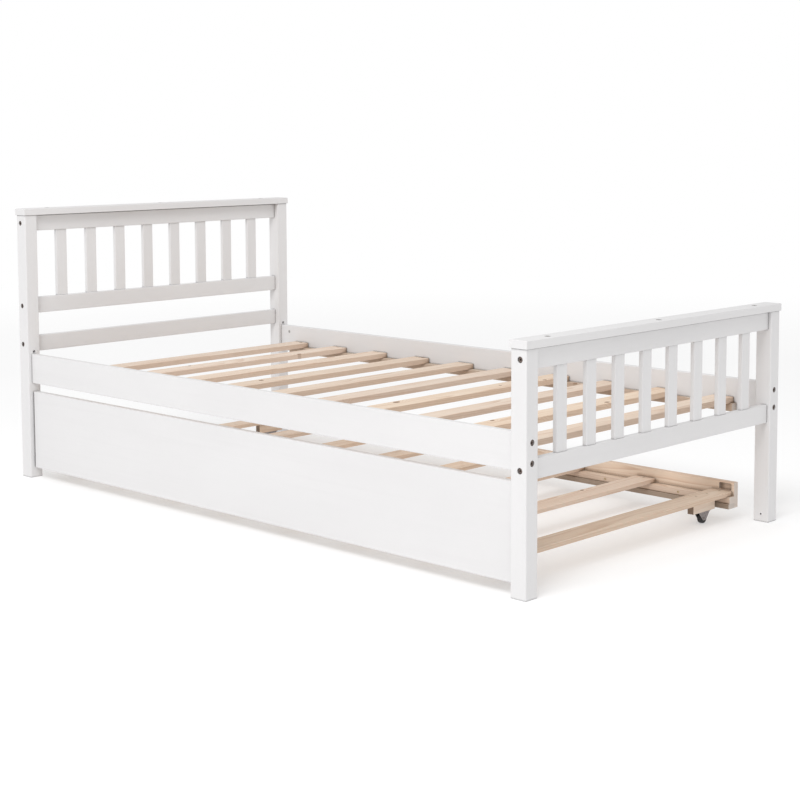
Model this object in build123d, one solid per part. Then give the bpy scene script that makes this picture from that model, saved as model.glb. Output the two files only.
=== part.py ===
from build123d import *
import os

# Single bed of painted pine with a trundle that rolls out from under its near side.
# Millimetres. X runs from the headboard (-X) to the footboard (+X), Y from the near
# side (-Y), where the trundle comes out, to the far side, and Z is up.
# The origin is on the floor, under the middle of the bed.

os.makedirs("parts", exist_ok=True)

# ---- Overall size ----
BED_LENGTH = 2020.0         # over the posts
BED_WIDTH = 1076.0          # over the posts
HEAD_POST_HEIGHT = 811.0
FOOT_POST_HEIGHT = 577.0

# ---- Painted frame ----
POST_LENGTH = 46.0          # post section along the bed
POST_WIDTH = 42.0           # post section across the bed
CAP_THICKNESS = 20.0
CAP_OVERHANG = 3.0
BOARD = 19.0                # thickness of every rail, the panel and the rear board
END_RAIL_HEIGHT = 49.0
END_RAIL_SETBACK = 9.5      # from the outer face of the posts
HEAD_MIDDLE_RAIL_Z = 507.5  # underside
HEAD_LOWER_RAIL_Z = 389.0
FOOT_BOTTOM_RAIL_Z = 274.0
SIDE_RAIL_HEIGHT = 90.0
SIDE_RAIL_Z = 294.0
SIDE_RAIL_SETBACK = 12.0

# ---- Upright spindles in both ends ----
SPINDLE_COUNT = 8
SPINDLE_PITCH = 112.2
SPINDLE_WIDTH = 38.0
SPINDLE_THICKNESS = 12.0
TENON = 8.0

# ---- Natural pine slats ----
SLAT_WIDTH = 66.0
SLAT_END_GAP = 1.5
BED_SLAT_THICKNESS = 16.0
BED_SLAT_COUNT = 10
BED_SLAT_SPAN = 1780.0      # over the outer edges of the first and last slat
LEDGER_WIDTH = 22.0
LEDGER_HEIGHT = 22.0
LEDGER_OVERRUN = 8.0        # how far a ledger runs past the end slats

# ---- Trundle ----
PANEL_HEIGHT = 237.0
PANEL_Z = 31.0
PANEL_SIDE_GAP = 4.0        # to the post at each end
PANEL_SETBACK = 14.0        # behind the face of the posts
REAR_BOARD_HEIGHT = 70.0
REAR_BOARD_Z = 33.0
REAR_BOARD_LENGTH = 1846.0
REAR_BOARD_FRONT_Y = 462.0
POCKET_LENGTH = 40.0
POCKET_HEIGHT = 20.0
POCKET_DEPTH = 12.0
POCKET_END_DISTANCE = 28.0  # from the end of the board to the pocket's middle
POCKET_Z = 89.0
TRUNDLE_SLAT_COUNT = 8
TRUNDLE_SLAT_SPAN = 1834.0
TRUNDLE_SLAT_THICKNESS = 12.0
TRUNDLE_SLAT_TOP = 78.0
TRUNDLE_LEDGER_WIDTH = 25.0
TRUNDLE_LEDGER_HEIGHT = 18.0
STRIP_WIDTH = 29.0
STRIP_HEIGHT = 14.0

# ---- Casters ----
CASTER_X = 879.0            # from the middle of the bed to each caster
BLOCK_THICKNESS = 19.0
BLOCK_LENGTH = 103.0
BLOCK_FROM_STRIP = 12.0
CASTER_HEIGHT = 33.0
CASTER_FROM_STRIP = 60.0    # from the strip to the middle of the wheel
WHEEL_RADIUS = 15.0
WHEEL_WIDTH = 13.6
WHEEL_BORE_RADIUS = 2.05
AXLE_RADIUS = 2.0
AXLE_HOLE_RADIUS = 2.05
PLATE_LENGTH = 56.0
PLATE_WIDTH = 19.0
STEEL = 1.5                 # sheet thickness of the fork
FORK_GAP = 14.6
FORK_TOP_LENGTH = 50.0
FORK_TIP_LENGTH = 14.0
FORK_BELOW_AXLE = 6.0
RIVET_RADIUS = 3.2
RIVET_THICKNESS = 1.2
CASTER_SCREW_SPACING = 40.0

# ---- Bolts and barrel nuts ----
BOLT_RADIUS = 3.0
BOLT_LENGTH = 85.0
BOLT_HEAD_RADIUS = 6.5
BOLT_HEAD_HEIGHT = 6.0
SOCKET_ACROSS_CORNERS = 5.8
SOCKET_DEPTH = 3.5
BOLT_HOLE_RADIUS = 3.3
COUNTERBORE_RADIUS = 7.5
COUNTERBORE_DEPTH = 8.0
NUT_RADIUS = 5.0
NUT_LENGTH = 14.0
NUT_HOLE_RADIUS = 5.05
NUT_FROM_END = 42.0         # from the rail's end to the nut's axis
NUT_THREAD_RADIUS = 3.15
NUT_SLOT_WIDTH = 1.4
NUT_SLOT_DEPTH = 1.5
BOLT_CLEARANCE = 0.6        # room past the tip of a bolt
SIDE_BOLT_OFFSET = 24.0     # above and below the middle of a side rail
SPARE_HOLE_RADIUS = 4.5
SPARE_HOLE_DEPTH = 20.0
SPARE_HOLE_Z = 391.0
PEG_HOLE_RADIUS = 2.5
PEG_HOLE_DEPTH = 10.0
PEG_HOLE_Z = 21.0

# ---- Screws down through the caps ----
CAP_SCREW_SPACING = 440.0
CAP_SCREW_RADIUS = 3.0
CAP_SCREW_LENGTH = 32.0
CAP_SCREW_HEAD_RADIUS = 6.0
CAP_SCREW_HEAD_HEIGHT = 7.7

# ---- Wood screws ----
SCREW_RADIUS = 2.0
SCREW_LENGTH = 30.0
SHORT_SCREW_LENGTH = 24.0
SCREW_HEAD_RADIUS = 3.8
SCREW_HEAD_HEIGHT = 2.0
SCREW_CLEARANCE = 0.1
RECESS_SLOT_LENGTH = 4.6
RECESS_SLOT_WIDTH = 1.0
RECESS_SLOT_DEPTH = 1.2
LEDGER_SCREW_COUNT = 6
CASTER_SCREW_RADIUS = 1.5
CASTER_SCREW_LENGTH = 16.0
CASTER_SCREW_HEAD_RADIUS = 2.7
CASTER_SCREW_HEAD_HEIGHT = 1.4

# ---- Eased edges ----
POST_EASE = 2.5
RAIL_EASE = 2.0
SLAT_EASE = 1.5
JOINT_EASE = 1.0
UNDER_CAP_EASE = 3.0        # along the top edges of a rail that meets a cap
FINE_EASE = 0.6

# ---- Places worked out from the sizes ----
HALF_LENGTH = BED_LENGTH / 2
HALF_WIDTH = BED_WIDTH / 2
POST_INNER_X = HALF_LENGTH - POST_LENGTH
POST_INNER_Y = HALF_WIDTH - POST_WIDTH
END_RAIL_X = HALF_LENGTH - END_RAIL_SETBACK - BOARD / 2
SIDE_RAIL_Y = HALF_WIDTH - SIDE_RAIL_SETBACK - BOARD / 2
SIDE_RAIL_INNER_Y = SIDE_RAIL_Y - BOARD / 2
SIDE_BOLT_LEVELS = [
    SIDE_RAIL_Z + SIDE_RAIL_HEIGHT / 2 - SIDE_BOLT_OFFSET,
    SIDE_RAIL_Z + SIDE_RAIL_HEIGHT / 2 + SIDE_BOLT_OFFSET,
]
HEAD_TOP_RAIL_Z = HEAD_POST_HEIGHT - END_RAIL_HEIGHT
FOOT_TOP_RAIL_Z = FOOT_POST_HEIGHT - END_RAIL_HEIGHT
HEAD_RAILS = {
    "head_top_rail": HEAD_TOP_RAIL_Z,
    "head_middle_rail": HEAD_MIDDLE_RAIL_Z,
    "head_lower_rail": HEAD_LOWER_RAIL_Z,
}
FOOT_RAILS = {
    "foot_top_rail": FOOT_TOP_RAIL_Z,
    "foot_bottom_rail": FOOT_BOTTOM_RAIL_Z,
}
BED_SLAT_BOTTOM = SIDE_RAIL_Z + LEDGER_HEIGHT
PANEL_BACK_Y = -HALF_WIDTH + PANEL_SETBACK + BOARD
TRUNDLE_SLAT_BOTTOM = TRUNDLE_SLAT_TOP - TRUNDLE_SLAT_THICKNESS
TRUNDLE_LEDGER_Z = TRUNDLE_SLAT_BOTTOM - TRUNDLE_LEDGER_HEIGHT
STRIP_Z = TRUNDLE_LEDGER_Z - STRIP_HEIGHT
FRONT_STRIP_Y = PANEL_BACK_Y + STRIP_WIDTH
REAR_STRIP_Y = REAR_BOARD_FRONT_Y - STRIP_WIDTH
FRONT_CASTER_Y = FRONT_STRIP_Y + CASTER_FROM_STRIP
REAR_CASTER_Y = REAR_STRIP_Y - CASTER_FROM_STRIP

TOWARDS_NEAR = Rotation(90, 0, 0)
TOWARDS_FAR = Rotation(-90, 0, 0)
TOWARDS_FOOT = Rotation(0, 90, 0)
TOWARDS_HEAD = Rotation(0, -90, 0)
DOWNWARDS = Rotation(180, 0, 0)
UPWARDS = Rotation(0, 0, 0)


def board(low, high, ease=0.0, axis=Axis.Z):
    """A straight board between two corners, its edges along one axis eased."""
    size = [b - a for a, b in zip(low, high)]
    solid = Pos(*low) * Box(*size, align=(Align.MIN, Align.MIN, Align.MIN))
    if ease > 0:
        solid = fillet(solid.edges().filter_by(axis), ease)
    return solid


def drill(mouth, facing, radius, depth):
    """The round cutter for a hole whose mouth looks along facing."""
    cutter = Cylinder(radius, depth, align=(Align.CENTER, Align.CENTER, Align.MAX))
    return Pos(*mouth) * facing * cutter


def cut_all(solid, cutters):
    """The solid with every cutter taken away."""
    for cutter in cutters:
        solid = solid - cutter
    return solid


def bolt_bore(mouth, facing, length=BOLT_LENGTH):
    """The counterbored hole for one socket head and its shank."""
    wide = drill(mouth, facing, COUNTERBORE_RADIUS, COUNTERBORE_DEPTH)
    narrow = drill(mouth, facing, BOLT_HOLE_RADIUS, COUNTERBORE_DEPTH + length + BOLT_CLEARANCE)
    return wide + narrow


def screw_length(mouth):
    """The screws down through the trundle's thin slats are the short ones."""
    return SHORT_SCREW_LENGTH if mouth[2] == TRUNDLE_SLAT_TOP else SCREW_LENGTH


def screw_bore(mouth, facing):
    """The hole for one wood screw, with a flat seat for its head."""
    seat = drill(mouth, facing, SCREW_HEAD_RADIUS + SCREW_CLEARANCE, SCREW_HEAD_HEIGHT)
    depth = SCREW_HEAD_HEIGHT + screw_length(mouth) + SCREW_CLEARANCE
    shank = drill(mouth, facing, SCREW_RADIUS + SCREW_CLEARANCE, depth)
    return seat + shank


def make_bolt(radius, length, head_radius, head_height):
    """A socket-head bolt pointing down, the underside of its head at zero."""
    head = Cylinder(head_radius, head_height, align=(Align.CENTER, Align.CENTER, Align.MIN))
    head = fillet(head.edges().sort_by(Axis.Z)[-1], FINE_EASE)
    socket = extrude(RegularPolygon(SOCKET_ACROSS_CORNERS / 2, 6), SOCKET_DEPTH)
    head = head - Pos(0, 0, head_height - SOCKET_DEPTH) * socket
    shank = Cylinder(radius, length, align=(Align.CENTER, Align.CENTER, Align.MAX))
    return head + shank


def make_barrel_nut():
    """A barrel nut pointing down, its slotted face at zero and its thread along X."""
    body = Cylinder(NUT_RADIUS, NUT_LENGTH, align=(Align.CENTER, Align.CENTER, Align.MAX))
    thread = Pos(0, 0, -BOARD / 2) * TOWARDS_FOOT * Cylinder(NUT_THREAD_RADIUS, 4 * NUT_RADIUS)
    slot = Box(2 * NUT_RADIUS, NUT_SLOT_WIDTH, 2 * NUT_SLOT_DEPTH)
    return body - thread - slot


def make_screw(radius, length, head_radius, head_height):
    """A cross-recessed screw pointing down, the top of its head at zero."""
    head = Cylinder(head_radius, head_height, align=(Align.CENTER, Align.CENTER, Align.MAX))
    shank = Cylinder(radius, length, align=(Align.CENTER, Align.CENTER, Align.MAX))
    screw = head + Pos(0, 0, -head_height) * shank
    for turn in (0, 90):
        slot = Box(RECESS_SLOT_LENGTH, RECESS_SLOT_WIDTH, 2 * RECESS_SLOT_DEPTH)
        screw = screw - Rotation(0, 0, turn) * slot
    return screw


def place_all(solid, places):
    """One separate copy of the solid at each (point, facing) pair."""
    return [Pos(*point) * facing * solid for point, facing in places]


def end_bolt_places(levels, end):
    """Mouths of the bolts that hold one end's rails between its posts."""
    places = []
    for level in levels:
        z = level + END_RAIL_HEIGHT / 2
        places.append(((end * END_RAIL_X, -HALF_WIDTH, z), TOWARDS_NEAR))
        places.append(((end * END_RAIL_X, HALF_WIDTH, z), TOWARDS_FAR))
    return places


def side_bolt_places(end, side):
    """Mouths of the bolts through one post into the end of its side rail."""
    facing = TOWARDS_FOOT if end > 0 else TOWARDS_HEAD
    return [((end * HALF_LENGTH, side * SIDE_RAIL_Y, z), facing) for z in SIDE_BOLT_LEVELS]


def end_nut_places(levels, end):
    """Mouths of the barrel-nut holes in one end's rails, all in their -X faces."""
    x = end * END_RAIL_X - BOARD / 2
    y = POST_INNER_Y - NUT_FROM_END
    places = []
    for level in levels:
        z = level + END_RAIL_HEIGHT / 2
        places += [((x, side * y, z), TOWARDS_HEAD) for side in (-1, 1)]
    return places


def side_nut_places(side):
    """Mouths of the barrel-nut holes in one side rail, all in its inner face."""
    facing = TOWARDS_FAR if side < 0 else TOWARDS_NEAR
    x = POST_INNER_X - NUT_FROM_END
    y = side * SIDE_RAIL_INNER_Y
    return [((end * x, y, z), facing) for end in (-1, 1) for z in SIDE_BOLT_LEVELS]


def make_post(end, side, height, levels):
    """One corner post with its bolt bores and the small holes on its inner faces."""
    low = (-HALF_LENGTH, -HALF_WIDTH, 0)
    high = (-POST_INNER_X, -POST_INNER_Y, height)
    post = board(low, high, POST_EASE)
    post = Pos((end + 1) * (HALF_LENGTH - POST_LENGTH / 2), 0, 0) * post
    post = Pos(0, (side + 1) * (HALF_WIDTH - POST_WIDTH / 2), 0) * post
    post = chamfer(post.faces().sort_by(Axis.Z)[0].edges(), FINE_EASE)
    post = chamfer(post.faces().sort_by(Axis.Z)[-1].edges(), JOINT_EASE)
    own_bolts = [p for p in end_bolt_places(levels, end) if p[0][1] * side > 0]
    cutters = [bolt_bore(*place) for place in own_bolts + side_bolt_places(end, side)]
    inward = TOWARDS_FOOT if end < 0 else TOWARDS_HEAD
    spare = (end * POST_INNER_X, side * SIDE_RAIL_Y, SPARE_HOLE_Z)
    cutters.append(drill(spare, inward, SPARE_HOLE_RADIUS, SPARE_HOLE_DEPTH))
    across = TOWARDS_FAR if side < 0 else TOWARDS_NEAR
    peg = (end * (HALF_LENGTH - POST_LENGTH / 2), side * POST_INNER_Y, PEG_HOLE_Z)
    cutters.append(drill(peg, across, PEG_HOLE_RADIUS, PEG_HOLE_DEPTH))
    return cut_all(post, cutters)


def spindle_centres():
    """Positions of the spindles across the bed."""
    first = -SPINDLE_PITCH * (SPINDLE_COUNT - 1) / 2
    return [first + SPINDLE_PITCH * i for i in range(SPINDLE_COUNT)]


def make_spindles(end, bottom, top):
    """The upright spindles of one end, each with a stub tenon at both ends."""
    x = end * END_RAIL_X
    spindles = []
    for y in spindle_centres():
        low = (x - SPINDLE_THICKNESS / 2, y - SPINDLE_WIDTH / 2, bottom - TENON)
        high = (x + SPINDLE_THICKNESS / 2, y + SPINDLE_WIDTH / 2, top + TENON)
        spindles.append(board(low, high, SLAT_EASE))
    return spindles


def mortises(end, level):
    """Cutters for the spindle mortises in a rail face at the given height."""
    size = (SPINDLE_THICKNESS, SPINDLE_WIDTH, 2 * TENON)
    return [Pos(end * END_RAIL_X, y, level) * Box(*size) for y in spindle_centres()]


def make_end_rail(end, level, mortised_faces, screw_places=()):
    """One rail between the posts of an end, with mortises and fastener holes."""
    x = end * END_RAIL_X
    low = (x - BOARD / 2, -POST_INNER_Y, level)
    high = (x + BOARD / 2, POST_INNER_Y, level + END_RAIL_HEIGHT)
    rail = board(low, high)
    long_edges = rail.edges().filter_by(Axis.Y).sort_by(Axis.Z)
    if screw_places:
        rail = chamfer(long_edges[2:], UNDER_CAP_EASE)
        rail = fillet(rail.edges().filter_by(Axis.Y).sort_by(Axis.Z)[:2], RAIL_EASE)
    else:
        rail = fillet(long_edges, RAIL_EASE)
    cutters = []
    for face in mortised_faces:
        cutters += mortises(end, face)
    cutters += [bolt_bore(*place) for place in end_bolt_places([level], end)]
    for mouth, facing in end_nut_places([level], end):
        cutters.append(drill(mouth, facing, NUT_HOLE_RADIUS, NUT_LENGTH))
    cutters += [bolt_bore(*place, CAP_SCREW_LENGTH) for place in screw_places]
    return cut_all(rail, cutters)


def cap_screw_places(end, top):
    """Mouths of the three screws down through a cap into its top rail."""
    offsets = (-CAP_SCREW_SPACING, 0, CAP_SCREW_SPACING)
    return [((end * END_RAIL_X, y, top), UPWARDS) for y in offsets]


def make_cap(end, post_height):
    """The flat cap board over one end's posts and top rail."""
    middle = end * (HALF_LENGTH - POST_LENGTH / 2)
    reach = POST_LENGTH / 2 + CAP_OVERHANG
    top = post_height + CAP_THICKNESS
    low = (middle - reach, -HALF_WIDTH - CAP_OVERHANG, post_height)
    high = (middle + reach, HALF_WIDTH + CAP_OVERHANG, top)
    cap = board(low, high)
    cap = fillet(cap.faces().sort_by(Axis.Z)[-1].edges(), RAIL_EASE)
    cap = fillet(cap.faces().sort_by(Axis.Z)[0].edges(), JOINT_EASE)
    return cut_all(cap, [bolt_bore(*place, CAP_SCREW_LENGTH) for place in cap_screw_places(end, top)])


def slat_centres(count, span):
    """Positions along the bed of evenly spaced slats with the given overall span."""
    first = -(span - SLAT_WIDTH) / 2
    pitch = (span - SLAT_WIDTH) / (count - 1)
    return [first + pitch * i for i in range(count)]


def ledger_screw_places(y, facing, z, centres):
    """Screws through a ledger's face, each midway between two slats."""
    gaps = [(a + b) / 2 for a, b in zip(centres, centres[1:])]
    last = len(gaps) - 1
    chosen = [gaps[round(i * last / (LEDGER_SCREW_COUNT - 1))] for i in range(LEDGER_SCREW_COUNT)]
    return [((x, y, z), facing) for x in chosen]


def make_side_rail(side, screw_places):
    """One side rail between the head and foot posts."""
    y = side * SIDE_RAIL_Y
    low = (-POST_INNER_X, y - BOARD / 2, SIDE_RAIL_Z)
    high = (POST_INNER_X, y + BOARD / 2, SIDE_RAIL_Z + SIDE_RAIL_HEIGHT)
    rail = board(low, high, RAIL_EASE, Axis.X)
    cutters = [bolt_bore(*place) for end in (-1, 1) for place in side_bolt_places(end, side)]
    for mouth, facing in side_nut_places(side):
        cutters.append(drill(mouth, facing, NUT_HOLE_RADIUS, NUT_LENGTH))
    cutters += [screw_bore(*place) for place in screw_places]
    return cut_all(rail, cutters)


def make_trundle_panel(screw_places):
    """The painted front panel that fills the opening under the side rail."""
    reach = POST_INNER_X - PANEL_SIDE_GAP
    low = (-reach, PANEL_BACK_Y - BOARD, PANEL_Z)
    high = (reach, PANEL_BACK_Y, PANEL_Z + PANEL_HEIGHT)
    panel = board(low, high)
    panel = fillet(panel.edges(), RAIL_EASE)
    return cut_all(panel, [screw_bore(*place) for place in screw_places])


def pocket(end):
    """The round-cornered blind pocket in the rear board's inner face."""
    x = end * (REAR_BOARD_LENGTH / 2 - POCKET_END_DISTANCE)
    outline = RectangleRounded(POCKET_LENGTH, POCKET_HEIGHT, POCKET_HEIGHT / 4)
    cutter = extrude(TOWARDS_NEAR * outline, amount=POCKET_DEPTH, both=True)
    return Pos(x, REAR_BOARD_FRONT_Y, POCKET_Z) * cutter


def make_rear_board(screw_places):
    """The natural pine board along the back of the trundle."""
    low = (-REAR_BOARD_LENGTH / 2, REAR_BOARD_FRONT_Y, REAR_BOARD_Z)
    high = (REAR_BOARD_LENGTH / 2, REAR_BOARD_FRONT_Y + BOARD, REAR_BOARD_Z + REAR_BOARD_HEIGHT)
    rear = board(low, high, RAIL_EASE, Axis.X)
    cutters = [pocket(-1), pocket(1)]
    cutters += [screw_bore(*place) for place in screw_places]
    return cut_all(rear, cutters)


def make_caster_fork():
    """A fixed caster's pressed fork, its mounting face at zero and its axle along X."""
    axle_z = WHEEL_RADIUS - CASTER_HEIGHT
    plate = Pos(0, 0, -STEEL / 2) * Box(PLATE_WIDTH, PLATE_LENGTH, STEEL)
    tip = axle_z - FORK_BELOW_AXLE
    outline = Polyline(
        (-FORK_TOP_LENGTH / 2, -STEEL),
        (FORK_TOP_LENGTH / 2, -STEEL),
        (FORK_TIP_LENGTH / 2, tip),
        (-FORK_TIP_LENGTH / 2, tip),
        close=True,
    )
    face = fillet(make_face(outline).vertices().sort_by(Axis.Y)[:2], FORK_TIP_LENGTH / 3)
    cheek = extrude(Plane.YZ * face, STEEL)
    fork = plate
    for x in (-FORK_GAP / 2 - STEEL, FORK_GAP / 2):
        fork = fork + Pos(x, 0, 0) * cheek
    fork = fork - Pos(0, 0, axle_z) * TOWARDS_FOOT * Cylinder(AXLE_HOLE_RADIUS, PLATE_WIDTH)
    for y in (-CASTER_SCREW_SPACING / 2, CASTER_SCREW_SPACING / 2):
        fork = fork - drill((0, y, 0), UPWARDS, CASTER_SCREW_RADIUS + SCREW_CLEARANCE, STEEL)
    return fork


def make_axle():
    """The riveted axle of one caster, centred on the origin and lying along X."""
    length = FORK_GAP + 2 * STEEL
    rod = Cylinder(AXLE_RADIUS, length)
    axle = rod
    for side in (-1, 1):
        head = Cylinder(RIVET_RADIUS, RIVET_THICKNESS)
        axle = axle + Pos(0, 0, side * (length + RIVET_THICKNESS) / 2) * head
    return TOWARDS_FOOT * axle


def make_wheel():
    """One caster wheel, centred on the origin with its bore along X."""
    wheel = Cylinder(WHEEL_RADIUS, WHEEL_WIDTH)
    wheel = fillet(wheel.edges(), RAIL_EASE)
    wheel = wheel - Cylinder(WHEEL_BORE_RADIUS, 2 * WHEEL_WIDTH)
    return TOWARDS_FOOT * wheel


def caster_places():
    """Name and middle of each caster, front to back and head to foot."""
    rows = (("front", FRONT_CASTER_Y), ("rear", REAR_CASTER_Y))
    ends = (("head", -CASTER_X), ("foot", CASTER_X))
    return {f"{row}_{end}": (x, y) for row, y in rows for end, x in ends}


def block_middle_y(y):
    """Middle of the caster block, which starts just inside its strip."""
    strip = FRONT_STRIP_Y if y < 0 else REAR_STRIP_Y
    inward = 1 if y < 0 else -1
    return strip + inward * (BLOCK_FROM_STRIP + BLOCK_LENGTH / 2)


def block_screw_places(x, y):
    """The two screws down through an end slat into one caster's block."""
    offsets = (-BLOCK_LENGTH / 4, BLOCK_LENGTH / 4)
    return [((x, block_middle_y(y) + offset, TRUNDLE_SLAT_TOP), UPWARDS) for offset in offsets]


def make_caster_block(x, y):
    """The upright block that carries one caster under an end slat."""
    middle = block_middle_y(y)
    low = (x - BLOCK_THICKNESS / 2, middle - BLOCK_LENGTH / 2, CASTER_HEIGHT)
    high = (x + BLOCK_THICKNESS / 2, middle + BLOCK_LENGTH / 2, TRUNDLE_SLAT_BOTTOM)
    block = board(low, high)
    cutters = [screw_bore(*place) for place in block_screw_places(x, y)]
    for offset in (-CASTER_SCREW_SPACING / 2, CASTER_SCREW_SPACING / 2):
        mouth = (x, y + offset, CASTER_HEIGHT)
        radius = CASTER_SCREW_RADIUS + SCREW_CLEARANCE
        cutters.append(drill(mouth, DOWNWARDS, radius, CASTER_SCREW_LENGTH))
    return cut_all(block, cutters)


def slat_screw_places(centres, near_y, far_y, top):
    """Screws down through both ends of every slat."""
    return [((x, y, top), UPWARDS) for x in centres for y in (near_y, far_y)]


def make_slat(x, near_y, far_y, bottom, thickness, screw_places):
    """One cross slat with its screw holes."""
    low = (x - SLAT_WIDTH / 2, near_y, bottom)
    high = (x + SLAT_WIDTH / 2, far_y, bottom + thickness)
    slat = board(low, high, SLAT_EASE, Axis.Y)
    own = [p for p in screw_places if abs(p[0][0] - x) < SLAT_WIDTH / 2]
    return cut_all(slat, [screw_bore(*place) for place in own])


def make_ledger(low, high, screw_places):
    """A straight square batten with its screw holes."""
    ledger = board(low, high, SLAT_EASE, Axis.X)
    return cut_all(ledger, [screw_bore(*place) for place in screw_places])


def save(name, *solids):
    """Write one node's solids, kept separate, to its own file."""
    shapes = []
    for solid in solids:
        shapes += solid.solids()
    result = shapes[0] if len(shapes) == 1 else Compound(children=shapes)
    export_step(result, f"parts/{name}.step")
    print(name, len(shapes))


def build_ends():
    """Headboard and footboard: posts, rails, caps and spindles."""
    ends = (("head", -1, HEAD_POST_HEIGHT, HEAD_RAILS), ("foot", 1, FOOT_POST_HEIGHT, FOOT_RAILS))
    for name, end, height, rails in ends:
        levels = sorted(rails.values(), reverse=True)
        spindle_bottom = levels[1] + END_RAIL_HEIGHT
        spindle_top = levels[0]
        for side_name, side in (("near", -1), ("far", 1)):
            save(f"{name}_post_{side_name}", make_post(end, side, height, levels))
        for rail_name, level in rails.items():
            faces = [f for f in (spindle_bottom, spindle_top) if f in (level, level + END_RAIL_HEIGHT)]
            top_rail = level == levels[0]
            screws = cap_screw_places(end, height + CAP_THICKNESS) if top_rail else ()
            save(rail_name, make_end_rail(end, level, faces, screws))
        save(f"{name}_cap", make_cap(end, height))
        save(f"{name}_spindles", *make_spindles(end, spindle_bottom, spindle_top))


def build_bed_base():
    """Side rails, ledgers, slats and the frame's screws."""
    centres = slat_centres(BED_SLAT_COUNT, BED_SLAT_SPAN)
    slat_y = SIDE_RAIL_INNER_Y - SLAT_END_GAP
    ledger_y = SIDE_RAIL_INNER_Y - LEDGER_WIDTH
    ledger_x = BED_SLAT_SPAN / 2 + LEDGER_OVERRUN
    screw_y = SIDE_RAIL_INNER_Y - LEDGER_WIDTH / 2
    slat_top = BED_SLAT_BOTTOM + BED_SLAT_THICKNESS
    slat_screws = slat_screw_places(centres, -screw_y, screw_y, slat_top)
    ledger_z = SIDE_RAIL_Z + LEDGER_HEIGHT / 2
    near_screws = ledger_screw_places(-ledger_y, TOWARDS_FAR, ledger_z, centres)
    far_screws = ledger_screw_places(ledger_y, TOWARDS_NEAR, ledger_z, centres)
    near_low = (-ledger_x, -SIDE_RAIL_INNER_Y, SIDE_RAIL_Z)
    near_high = (ledger_x, -ledger_y, BED_SLAT_BOTTOM)
    far_low = (-ledger_x, ledger_y, SIDE_RAIL_Z)
    far_high = (ledger_x, SIDE_RAIL_INNER_Y, BED_SLAT_BOTTOM)
    near_down = [p for p in slat_screws if p[0][1] < 0]
    far_down = [p for p in slat_screws if p[0][1] > 0]
    save("side_rail_near", make_side_rail(-1, near_screws))
    save("side_rail_far", make_side_rail(1, far_screws))
    save("slat_ledger_near", make_ledger(near_low, near_high, near_screws + near_down))
    save("slat_ledger_far", make_ledger(far_low, far_high, far_screws + far_down))
    for i, x in enumerate(centres, start=1):
        slat = make_slat(x, -slat_y, slat_y, BED_SLAT_BOTTOM, BED_SLAT_THICKNESS, slat_screws)
        save(f"bed_slat_{i:02d}", slat)
    screw = make_screw(SCREW_RADIUS, SCREW_LENGTH, SCREW_HEAD_RADIUS, SCREW_HEAD_HEIGHT)
    save("frame_screws", *place_all(screw, slat_screws + near_screws + far_screws))


def seat_of(place):
    """A bolt's place moved from the mouth of its bore to the counterbore's floor."""
    point, facing = place
    seat = Pos(*point) * facing * Pos(0, 0, -COUNTERBORE_DEPTH)
    return tuple(seat.position), facing


def build_bolts():
    """Bolts and barrel nuts that join posts and rails."""
    head_levels = HEAD_RAILS.values()
    foot_levels = FOOT_RAILS.values()
    bolts = end_bolt_places(head_levels, -1) + end_bolt_places(foot_levels, 1)
    across_nuts = end_nut_places(head_levels, -1) + end_nut_places(foot_levels, 1)
    along_nuts = side_nut_places(-1) + side_nut_places(1)
    for end in (-1, 1):
        for side in (-1, 1):
            bolts += side_bolt_places(end, side)
    bolt = make_bolt(BOLT_RADIUS, BOLT_LENGTH, BOLT_HEAD_RADIUS, BOLT_HEAD_HEIGHT)
    save("rail_bolts", *place_all(bolt, [seat_of(place) for place in bolts]))
    screws = cap_screw_places(-1, HEAD_POST_HEIGHT + CAP_THICKNESS)
    screws += cap_screw_places(1, FOOT_POST_HEIGHT + CAP_THICKNESS)
    screw = make_bolt(
        CAP_SCREW_RADIUS, CAP_SCREW_LENGTH, CAP_SCREW_HEAD_RADIUS, CAP_SCREW_HEAD_HEIGHT
    )
    save("cap_screws", *place_all(screw, [seat_of(place) for place in screws]))
    nut = make_barrel_nut()
    turned_nut = Rotation(0, 0, 90) * nut
    nuts = place_all(turned_nut, across_nuts) + place_all(nut, along_nuts)
    save("barrel_nuts", *nuts)


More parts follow.
